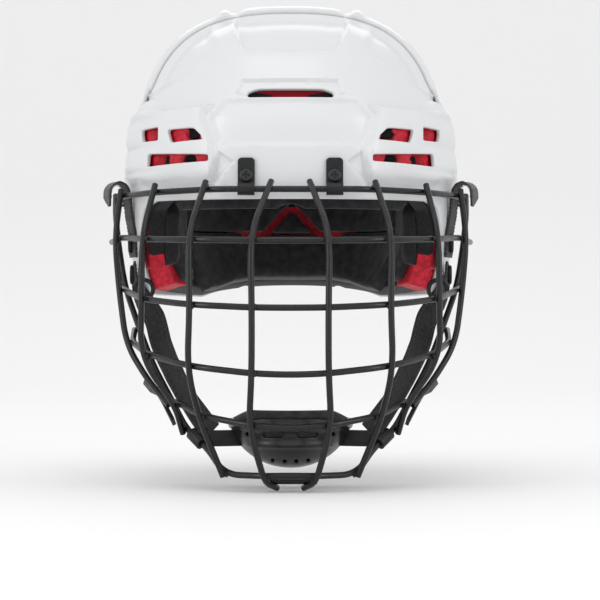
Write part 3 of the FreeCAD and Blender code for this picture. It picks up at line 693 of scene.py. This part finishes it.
def pillow(name, field, span, step, rim=2.2, soft=9.0, quilt=0.0):
    """A pad that stands on a liner: its back follows the dome and its face swells away from its edge."""
    def swell(uv, g):
        rise = np.sqrt(np.clip(1 - (1 - np.clip(g / soft, 0, 1)) ** 2, 0, 1))
        p = surface(uv)
        dimple = quilt * (0.5 + 0.5 * np.sin(p[:, 0] * 0.42) * np.sin(p[:, 2] * 0.42 + p[:, 1] * 0.42))
        return PAD_BACK + rim + (PAD_THICK - rim - dimple) * rise
    obj = layered(name, on_dome, span, step, field, level(PAD_BACK), swell, edge=0.8, inner_edge=1.0)
    return obj


def side_of(outline, lo, hi, r):
    """Inside an outline seen from the side, as (Y, Z), between two values of X."""
    return on_shell(lambda p: np.minimum(inside(p[:, 1], p[:, 2], outline, r),
                                         np.minimum(p[:, 0] - lo, hi - p[:, 0])))


def back_of(outline, r):
    """Inside an outline seen from the front, as (X, Z), at the back of the dome."""
    return on_shell(lambda p: np.minimum(inside(p[:, 0], p[:, 2], outline, r), p[:, 1] - PAD_BACK_Y))


BROW_PAD = [(-140, -6), (-78, -6), (-66, 6), (-66, 34), (-72, 40), (-140, 40)]
CENTRE_PAD = [(-1.6, -2), (1.6, -2), (17, -16.5), (-17, -16.5)]
NAPE_PAD = [(-96, -17), (-44, -17), (-43, -23), (-21, -23), (-18, -18), (18, -18), (21, -23), (43, -23),
            (44, -17), (96, -17), (96, -57), (72, -62), (64, -61), (50, -56), (32, -53), (-32, -53),
            (-50, -56), (-64, -61), (-72, -62), (-96, -57)]
TEMPLE_PAD = [(-60, -8), (-56, -1), (-20, -1), (-15, -6), (-16, -38), (-20, -43), (-44, -43), (-50, -36)]
SIDE_PAD = [(-60, 8), (-56, 3), (-8, 3), (-4, 8), (-4, 62), (-10, 68), (-48, 68), (-60, 50)]
REAR_SIDE_PAD = [(42, -6), (48, -12), (57, -32), (72, -51), (80, -56), (80, 52), (46, 62), (42, 58)]
REAR_UPPER_PAD = [(1.6, 5), (1.6, 46), (42, 52), (96, 48), (96, -15.5), (24, -15.5), (8, 0)]


def brow_edge(p):
    """The brow pad, with a notch in the middle of its lower edge."""
    g = inside(p[:, 1], p[:, 2], BROW_PAD, 3.0)
    notch = np.hypot(p[:, 0] * 0.55, p[:, 2] + 8.5) - 5.5
    return np.minimum(g, notch)


brow = pillow("brow_cushion", on_shell(brow_edge), ((-80, 80), (-112, -50)), 1.3, soft=7.0, quilt=0.7)
dress(brow, FRONT, pad_cloth, "comfort_foam", "brow_pad")
for end, lo, hi, span, body in (("front", -62, -8, (-60, 5), FRONT), ("rear", -2, 58, (-15, 50), REAR)):
    field = side_of([(lo, 86), (hi, 86), (hi, 150), (lo, 150)], -33, 33, 3.0)
    crown = pillow("crown_cushion_" + end, field, ((-30, 30), span), 1.4, quilt=1.0)
    dress(crown, body, pad_cloth, "comfort_foam", "crown_" + end + "_pad")
centre = pillow("centre_cushion", back_of(CENTRE_PAD, 1.0), ((-20, 20), (85, 125)), 0.7, soft=3.0, rim=6.5)
dress(centre, REAR, pad_cloth, "comfort_foam", "centre_pad")
nape = pillow("nape_cushion", back_of(NAPE_PAD, 0.0), ((-100, 100), (50, 131)), 1.3, soft=4.0, rim=6.5,
              quilt=0.5)
dress(nape, REAR, pad_cloth, "comfort_foam", "nape_pad")
for stem, field, span, body, cloth in (
        ("temple", side_of(TEMPLE_PAD, 20, 150, 3.0), ((20, 130), (-90, 10)), FRONT, black_foam),
        ("side", side_of(SIDE_PAD, 20, 150, 4.0), ((20, 118), (-80, 20)), FRONT, pad_cloth),
        ("rear_side", side_of(REAR_SIDE_PAD, 20, 150, 2.0), ((20, 130), (5, 120)), REAR, pad_cloth),
        ("rear_upper", back_of(REAR_UPPER_PAD, 0.8), ((-2, 100), (30, 130)), REAR, pad_cloth)):
    left = pillow(stem + "_cushion_left", field, span, 1.5, soft=5.0, rim=5.5, quilt=0.5)
    right = mirrored(left, stem + "_cushion_right")
    dress(left, body, cloth, "comfort_foam", stem + "_pad_left")
    dress(right, body, cloth, "comfort_foam", stem + "_pad_right")

# ---------------------------------------------------------------- chin cup
CUP_CENTRE = np.array([0.0, -98.0, -132.0])
CUP_RADII = np.array([39.0, 43.0, 35.0])
CUP_THICK = 2.4
# Seen from the front, as (X, Z).
CUP_SLOTS = [[(x0, -147.3), (x1, -147.3), (x1, -143.7), (x0, -143.7)]
             for x0, x1 in ((-17.5, -4.0), (4.0, 17.5))]
CUP_HOLES, CUP_HOLE_R = [(26.5, -139), (26.5, -145), (3.6, -162), (11.0, -161.6)], 1.3
CUP_PANEL = [(-22, -150.3), (22, -150.3), (24, -142.8), (-24, -142.8)]


def on_cup(uv, depth):
    """The cup's surface, by two angles from straight down, to the left and to the front."""
    p, q = np.tan(np.radians(uv[:, 0]) / 2), np.tan(np.radians(uv[:, 1]) / 2)
    rho = 1 + p * p + q * q
    d = np.stack([2 * p / rho, -2 * q / rho, -(2 - rho) / rho], -1)
    return CUP_CENTRE + (CUP_RADII - np.reshape(depth, (-1, 1))) * d


def cup_edge(rim_z, back_y, holes):
    """Under the rim and ahead of the back edge, outside the slots and holes if the piece has them."""
    def field(uv):
        p = on_cup(uv, np.zeros(len(uv)))
        sag = (4.0 if holes else 9.0) * smooth((abs(p[:, 0]) - (16 if holes else 24)) / 22)
        g = np.minimum(rim_z - sag - p[:, 2], back_y - p[:, 1])
        if holes:
            in_front = p[:, 1] < -100
            for slot in CUP_SLOTS:
                g = np.where(in_front, np.minimum(g, -inside(p[:, 0], p[:, 2], slot, 1.7)), g)
            for x, z in CUP_HOLES:
                hole = np.hypot(abs(p[:, 0]) - x, p[:, 2] - z) - CUP_HOLE_R
                g = np.where(in_front, np.minimum(g, hole), g)
        return g
    return field


def cup_relief(uv, g):
    """A raised rim, a ridge under the slots and a flat panel on the cup's front."""
    p = on_cup(uv, np.zeros(len(uv)))
    band = -1.0 * smooth((p[:, 2] + 142.6) / 1.2)
    ridge = -1.2 * bump(p[:, 2] + 151.5, 1.8) * smooth((30 - abs(p[:, 0])) / 6)
    panel = 0.9 * smooth(inside(p[:, 0], p[:, 2], CUP_PANEL, 1.5) / 1.2)
    return band + ridge + panel * (p[:, 1] < -100)


cup = layered("chin_cup_shell", on_cup, ((-92, 92), (-62, 92)), 1.8, cup_edge(-135.0, -92.0, True),
              cup_relief, level(CUP_THICK), edge=0.7, inner_edge=0.5)
dress(cup, CAGE, gloss_plastic, "black_plastic", "chin_cup")


def cup_swell(uv, g):
    """The pad's inner side, which swells away from its edge."""
    return 3.6 + 3.8 * np.sqrt(np.clip(1 - (1 - np.clip(g / 6, 0, 1)) ** 2, 0, 1))


def cup_back(uv, g):
    """The pad's outer side, which rolls out over the cup's rim."""
    p = on_cup(uv, np.zeros(len(uv)))
    return 2.6 - 2.2 * smooth((p[:, 2] + 135.2) / 1.4)


cup_pad = layered("chin_cup_cushion", on_cup, ((-97, 97), (-60, 98)), 2.0,
                  cup_edge(-129.6, -92.5, False), cup_back, cup_swell, edge=1.6, inner_edge=2.0)
dress(cup_pad, CAGE, pad_cloth, "comfort_foam", "chin_cup_pad")


# ---------------------------------------------------------------- fittings: CAD nodes and softened copies
SHARP = math.radians(32)                    # edges that turn more than this are rounded
WIRE_ENDS = ("_bar", "upright_left", "upright_right", "_wire", "_tie")


def soft_copy(node, name, width, finish, slot, body):
    """A copy of a CAD node with its edges rounded."""
    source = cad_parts[node]
    mesh = source.data.copy()
    mesh.transform(source.matrix_world)
    mesh.materials.clear()
    bm = bmesh.new()
    bm.from_mesh(mesh)
    bmesh.ops.remove_doubles(bm, verts=bm.verts, dist=WELD)
    bmesh.ops.dissolve_limit(bm, angle_limit=math.radians(1.0), verts=bm.verts, edges=bm.edges)
    bmesh.ops.recalc_face_normals(bm, faces=bm.faces)
    for f in bm.faces:
        f.smooth = True
    bm.to_mesh(mesh)
    bm.free()
    obj = add_object(name, mesh)
    bevel = obj.modifiers.new("bevel", "BEVEL")
    bevel.width, bevel.segments, bevel.limit_method = width * MM, 3, "ANGLE"
    bevel.angle_limit, bevel.harden_normals, bevel.use_clamp_overlap = SHARP, True, True
    return dress(obj, body, finish, slot, node)


for side in ("left", "right"):
    for node, name, width, body in (
            ("hinge_clip_", "cage_clip_", 0.35, FRONT), ("cup_arm_", "cup_bracket_", 0.5, CAGE),
            ("wire_keeper_", "keeper_hook_", 0.45, CAGE), ("lever_seat_", "lever_plate_", 0.35, REAR),
            ("size_lever_", "lever_arm_", 0.5, "lever_" + side + "_body")):
        soft_copy(node + side, name + side, width, plastic, "black_plastic", body)
soft_copy("clip_screws", "clip_screw_heads", 0.2, screw_black, "steel", FRONT)
soft_copy("snap_caps", "snap_cap_domes", 0.3, plastic, "black_plastic", CAGE)
soft_copy("snap_studs", "snap_stud_posts", 0.2, steel, "steel", FRONT)
soft_copy("tee_nuts", "tee_nut_flanges", 0.2, steel, "steel", FRONT)
soft_copy("lever_pins", "lever_pin_rods", 0.2, steel, "steel", REAR)
for node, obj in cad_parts.items():
    if not obj.hide_render:
        obj.data.materials.clear()
        obj.data.materials.append(coat_black if node.endswith(WIRE_ENDS) else plastic)


# ---------------------------------------------------------------- weld beads
WIRES = [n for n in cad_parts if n.endswith(WIRE_ENDS)]
BEAD_REACH, BEAD_HALF_HEIGHT = 2.1, 1.25
CROSSING_GAP, CROSSING_PITCH = 0.9, 7       # wires this close cross, and crossings are this far apart


def bead(points, polys, at, along, across):
    """Adds a flattened blob between two wires, as a fillet at their crossing."""
    normal = along.cross(across).normalized()
    first, rings, sides = len(points), 6, 12
    for i in range(rings + 1):
        lift = math.pi * i / rings
        for j in range(sides):
            turn = 2 * math.pi * j / sides
            wide = math.sin(lift) * (1 + 0.12 * math.sin(3 * turn + at.x))
            p = at + along * (math.cos(turn) * wide * BEAD_REACH)
            p = p + across * (math.sin(turn) * wide * BEAD_REACH)
            points.append(p + normal * (math.cos(lift) * BEAD_HALF_HEIGHT))
    polys += tube_faces(first, sides, rings + 1, caps=False)


def wire_tree(node):
    """A wire's surface for finding nearest points, and its vertices, in millimetres."""
    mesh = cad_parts[node].data
    verts = [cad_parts[node].matrix_world @ v.co / MM for v in mesh.vertices]
    return BVHTree.FromPolygons(verts, [p.vertices[:] for p in mesh.polygons]), verts


trees = {node: wire_tree(node) for node in WIRES}
bead_points, bead_polys, placed = [], [], []
for i, one in enumerate(WIRES):
    for two in WIRES[i + 1:]:
        tree = trees[two][0]
        near = []
        for v in trees[one][1]:
            place, normal, _, distance = tree.find_nearest(v, CROSSING_GAP)
            if place is not None:
                near.append((distance, (v + place) / 2, normal))
        near.sort(key=lambda n: n[0])
        for _, at, normal in near:
            if all((at - other).length > CROSSING_PITCH for other in placed):
                placed.append(at)
                along = normal.orthogonal().normalized()
                bead(bead_points, bead_polys, at, along, normal.cross(along).normalized())
beads = made("weld_beads", [tuple(p) for p in bead_points], bead_polys, 60)
dress(beads, CAGE, coat_black, "cage_wire")


# ---------------------------------------------------------------- webbing
STRAP_THICK, CHIN_WIDTH, SIDE_WIDTH = 1.6, 15.0, 16.0
RIPPLE = 0.12
STITCH_R, STITCH_ARCH, STITCH_SUNK = 0.24, 0.28, 0.1


def curve_through(points, per=10):
    """A smooth run of points through the given ones."""
    pts = [Vector(p) for p in points]
    pts = [pts[0] * 2 - pts[1]] + pts + [pts[-1] * 2 - pts[-2]]
    out = []
    for i in range(1, len(pts) - 2):
        p0, p1, p2, p3 = pts[i - 1:i + 3]
        for k in range(per):
            t = k / per
            out.append(0.5 * (2 * p1 + (p2 - p0) * t + (2 * p0 - 5 * p1 + 4 * p2 - p3) * t * t
                              + (3 * p1 - p0 - 3 * p2 + p3) * t ** 3))
    return out + [pts[-2]]


def ribbon(name, points, sides, width, tip=None):
    """Webbing along smooth points, spread along each point's side, with rounded selvages.

    tip is the part of the length over which the far end narrows.
    """
    ring = 14
    verts = []
    total = len(points)
    for i, p in enumerate(points):
        way = (points[min(i + 1, total - 1)] - points[max(i - 1, 0)]).normalized()
        side = sides[i] - way * sides[i].dot(way)
        side.normalize()
        up = side.cross(way).normalized()
        half = width / 2
        if tip:
            left = (total - 1 - i) / (total - 1)
            half *= min(1.0, 0.25 + left / tip)
        for j in range(ring):
            t = 2 * math.pi * j / ring
            c, s = math.cos(t), math.sin(t)
            u = math.copysign(abs(c) ** 0.35, c) * half
            w = math.copysign(abs(s) ** 0.6, s) * STRAP_THICK / 2
            wave = RIPPLE * math.sin(i * 0.9) * math.sin(u * 0.6)
            verts.append(p + side * u + up * (w + wave))
    return made(name, [tuple(v) for v in verts], tube_faces(0, ring, total), 60)


def facing_sides(points, facing):
    """Sides for a band whose flat side faces the given way at each of its first points."""
    sides = []
    for i, p in enumerate(points):
        way = points[min(i + 1, len(points) - 1)] - points[max(i - 1, 0)]
        t = i / (len(points) - 1) * (len(facing) - 1)
        k = min(int(t), len(facing) - 2)
        look = Vector(facing[k]).lerp(Vector(facing[k + 1]), t - k)
        sides.append(way.cross(look).normalized())
    return sides


CHIN_STRAP = [(101.9, -33, -40), (100.4, -38, -52), (95, -45.5, -62), (87.6, -49, -74), (82.6, -55, -91),
              (74.5, -69, -108), (64.0, -85.5, -125.5), (49.5, -104, -144.5)]
CHIN_FACING = [(1, -0.2, 0), (1, -0.3, 0), (0.7, -0.8, 0), (0.35, -1, 0), (0.35, -1, 0), (0.5, -1, 0),
               (0.7, -1, 0), (0.3, -1, 0)]
SIDE_STRAP = [(101.6, -39.5, -35), (102.4, -39.5, -20), (104.4, -39.5, -8), (105.7, -39.5, 5),
              (107.6, -39.5, 10.6), (112, -39.5, 13), (117, -39.5, 10.5), (118.4, -39.5, 5),
              (117, -39.5, -2)]


def stitches(name, points, sides, across, first, last):
    """Short threads along a strap, one row on each offset from its middle, at every second point."""
    ring, rings = 6, 5
    verts, polys = [], []
    for off in across:
        for face in (1, -1):
            for i in range(first, last, 2):
                p, q = points[i], points[i + 1]
                way = (q - p).normalized()
                up = sides[i].cross(way).normalized() * face
                base = p + sides[i].normalized() * off + up * (STRAP_THICK / 2)
                polys += tube_faces(len(verts), ring, rings)
                for k in range(rings):
                    t = k / (rings - 1)
                    arch = up * (STITCH_ARCH * math.sin(math.pi * t) - STITCH_SUNK)
                    centre = base + way * ((q - p).length * 1.3 * t) + arch
                    for j in range(ring):
                        turn = 2 * math.pi * j / ring
                        verts.append(centre + sides[i].normalized() * (STITCH_R * math.cos(turn))
                                     + up * (STITCH_R * math.sin(turn)))
    return made(name, [tuple(v) for v in verts], polys, 60, weld=False)


chin_points = curve_through(CHIN_STRAP)
chin_sides = facing_sides(chin_points, CHIN_FACING)
chin = ribbon("chin_web_left", chin_points, chin_sides, CHIN_WIDTH)
side_points = curve_through(SIDE_STRAP)
side_sides = [Vector((0.34, 0.94, 0)).normalized()] * len(side_points)
side_web = ribbon("side_web_left", side_points, side_sides, SIDE_WIDTH, tip=0.12)
for stem, left, node in (("chin", chin, "chin_strap_"), ("side", side_web, "side_strap_")):
    right = mirrored(left, stem + "_web_right")
    dress(left, CAGE, web, "webbing", node + "left")
    dress(right, CAGE, web, "webbing", node + "right")
for stem, pts, sds, rows, span in (("chin", chin_points, chin_sides, (-5.6, 5.6), (1, 69)),
                                   ("side", side_points, side_sides, (-6.2, 6.2), (1, 72))):
    left = stitches(stem + "_stitching_left", pts, sds, rows, *span)
    right = mirrored(left, stem + "_stitching_right")
    dress(left, CAGE, thread, "webbing")
    dress(right, CAGE, thread, "webbing")

# ---------------------------------------------------------------- floor, light and camera
FLOOR_Z, BEND = -179.5, 1500                # the floor's height, and its radius where it turns up to a wall
sweep = [(-4000, 0.0), (BEND, 0.0)]
for turn in range(6, 91, 6):
    t = math.radians(turn)
    sweep.append((BEND + BEND * math.sin(t), BEND * (1 - math.cos(t))))
sweep.append((2 * BEND, 5000))
floor = made("floor", [(x, y, z + FLOOR_Z) for y, z in sweep for x in (-6000, 6000)],
             [(2 * i, 2 * i + 1, 2 * i + 3, 2 * i + 2) for i in range(len(sweep) - 1)], weld=False)
paper = material("floor_paper", (0.90, 0.90, 0.905), 0.8, spec=0.1)
floor.data.materials.append(paper)


def area_light(name, at, target, size, power):
    """A soft white light, with places and sizes in metres."""
    data = bpy.data.lights.new(name, "AREA")
    data.shape, data.size, data.size_y, data.energy = "RECTANGLE", size[0], size[1], power
    light = add_object(name, data)
    light.location = at
    light.rotation_mode = "QUATERNION"
    light.rotation_quaternion = (Vector(target) - Vector(at)).to_track_quat("-Z", "Y")
    return light


lights = [area_light("key_light", (-0.15, -0.8, 1.5), (0, 0, 0.02), (1.2, 0.8), 3.6),
          area_light("left_light", (-1.3, -1.0, 0.35), (0, 0, 0.0), (0.3, 1.3), 5.2),
          area_light("right_light", (1.3, -1.0, 0.35), (0, 0, 0.0), (0.3, 1.3), 4.6),
          area_light("back_light", (0.0, 1.6, 1.2), (0, 0, 0.05), (1.6, 0.8), 4)]
world = bpy.data.worlds.new("studio")
bpy.context.scene.world = world
world.use_nodes = True
world.node_tree.nodes["Background"].inputs["Color"].default_value = (1, 1, 1, 1)
world.node_tree.nodes["Background"].inputs["Strength"].default_value = 0.9
camera_data = bpy.data.cameras.new("camera")
camera_data.lens, camera_data.sensor_width = 163.6, 36.0
camera_data.clip_start, camera_data.clip_end = 0.05, 60.0
camera = add_object("camera", camera_data)
camera.location = (0.0059, -1.8, -0.0624)
camera.rotation_euler = (math.pi / 2, 0, 0)
bpy.context.scene.camera = camera
bpy.context.scene.view_settings.view_transform = "Standard"
